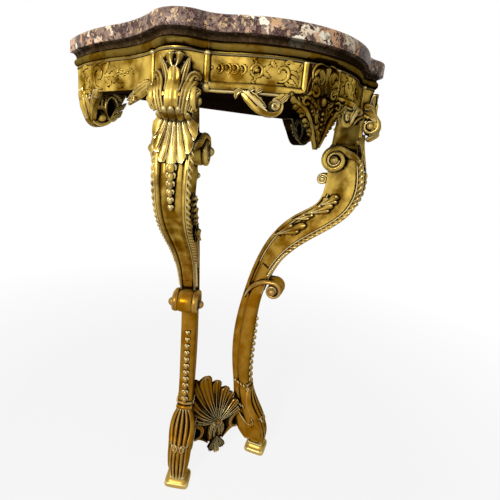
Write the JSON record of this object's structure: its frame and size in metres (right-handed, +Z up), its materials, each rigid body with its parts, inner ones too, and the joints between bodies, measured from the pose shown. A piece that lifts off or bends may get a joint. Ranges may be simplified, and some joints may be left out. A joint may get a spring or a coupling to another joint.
{
  "type": "wall console table",
  "caption": "Giltwood wall console with a serpentine moulded marble top, carved apron, S-scroll legs set on the diagonal and a palmette stretcher.",
  "frame": {"origin": "on the wall plane, at the middle of the back rail between its wall screws", "axes": "+Z up, +Y into the wall, front of the table at -Y, +X to the right of someone facing the front"},
  "size_m": [0.568, 0.333, 0.88],
  "materials": {
    "marble": "polished",
    "gilding": "gold leaf over gesso, worn",
    "dark_wood": "bare, stained dark",
    "dowel_wood": "bare"
  },
  "bodies": {
    "frame": {"back_rail": "dark_wood", "cartouche_shell": "gilding", "centre_cartouche": "gilding", "frame_dowels": "dowel_wood", "front_rail": "gilding", "glue_blocks": "dark_wood", "left_ankle_leaf": "gilding", "left_apron_scroll": "gilding", "left_cartouche_scroll": "gilding", "left_corner_acanthus": "gilding", "left_corner_beads": "gilding", "left_corner_block": "gilding", "left_foot_block": "gilding", "left_head_scroll": "gilding", "left_knee_scroll": "gilding", "left_knee_shell": "gilding", "left_lower_husks": "gilding", "left_lower_leg": "gilding", "left_mid_scroll": "gilding", "left_panel_moulding": "gilding", "left_panel_ornament": "gilding", "left_rear_pendant": "gilding", "left_shell_knot": "gilding", "left_side_leaf": "gilding", "left_side_ornament": "gilding", "left_side_rail": "gilding", "left_stretcher_arm": "gilding", "left_top_moulding": "gilding", "left_upper_husks": "gilding", "left_upper_leg": "gilding", "leg_dowels": "dowel_wood", "right_ankle_leaf": "gilding", "right_apron_scroll": "gilding", "right_cartouche_scroll": "gilding", "right_corner_acanthus": "gilding", "right_corner_beads": "gilding", "right_corner_block": "gilding", "right_foot_block": "gilding", "right_head_scroll": "gilding", "right_knee_scroll": "gilding", "right_knee_shell": "gilding", "right_lower_husks": "gilding", "right_lower_leg": "gilding", "right_mid_scroll": "gilding", "right_panel_moulding": "gilding", "right_panel_ornament": "gilding", "right_rear_pendant": "gilding", "right_shell_knot": "gilding", "right_side_leaf": "gilding", "right_side_ornament": "gilding", "right_side_rail": "gilding", "right_stretcher_arm": "gilding", "right_top_moulding": "gilding", "right_upper_husks": "gilding", "right_upper_leg": "gilding", "stretcher_drop": "gilding", "stretcher_palmette": "gilding", "top_moulding_front": "gilding"},
    "top": {"marble_top": "marble"}
  },
  "joints": [
    {"name": "marble_lift", "type": "slide", "parent": "frame", "child": "top", "axis": [0, 0, 1], "range_m": [0, 0.06]}
  ]
}
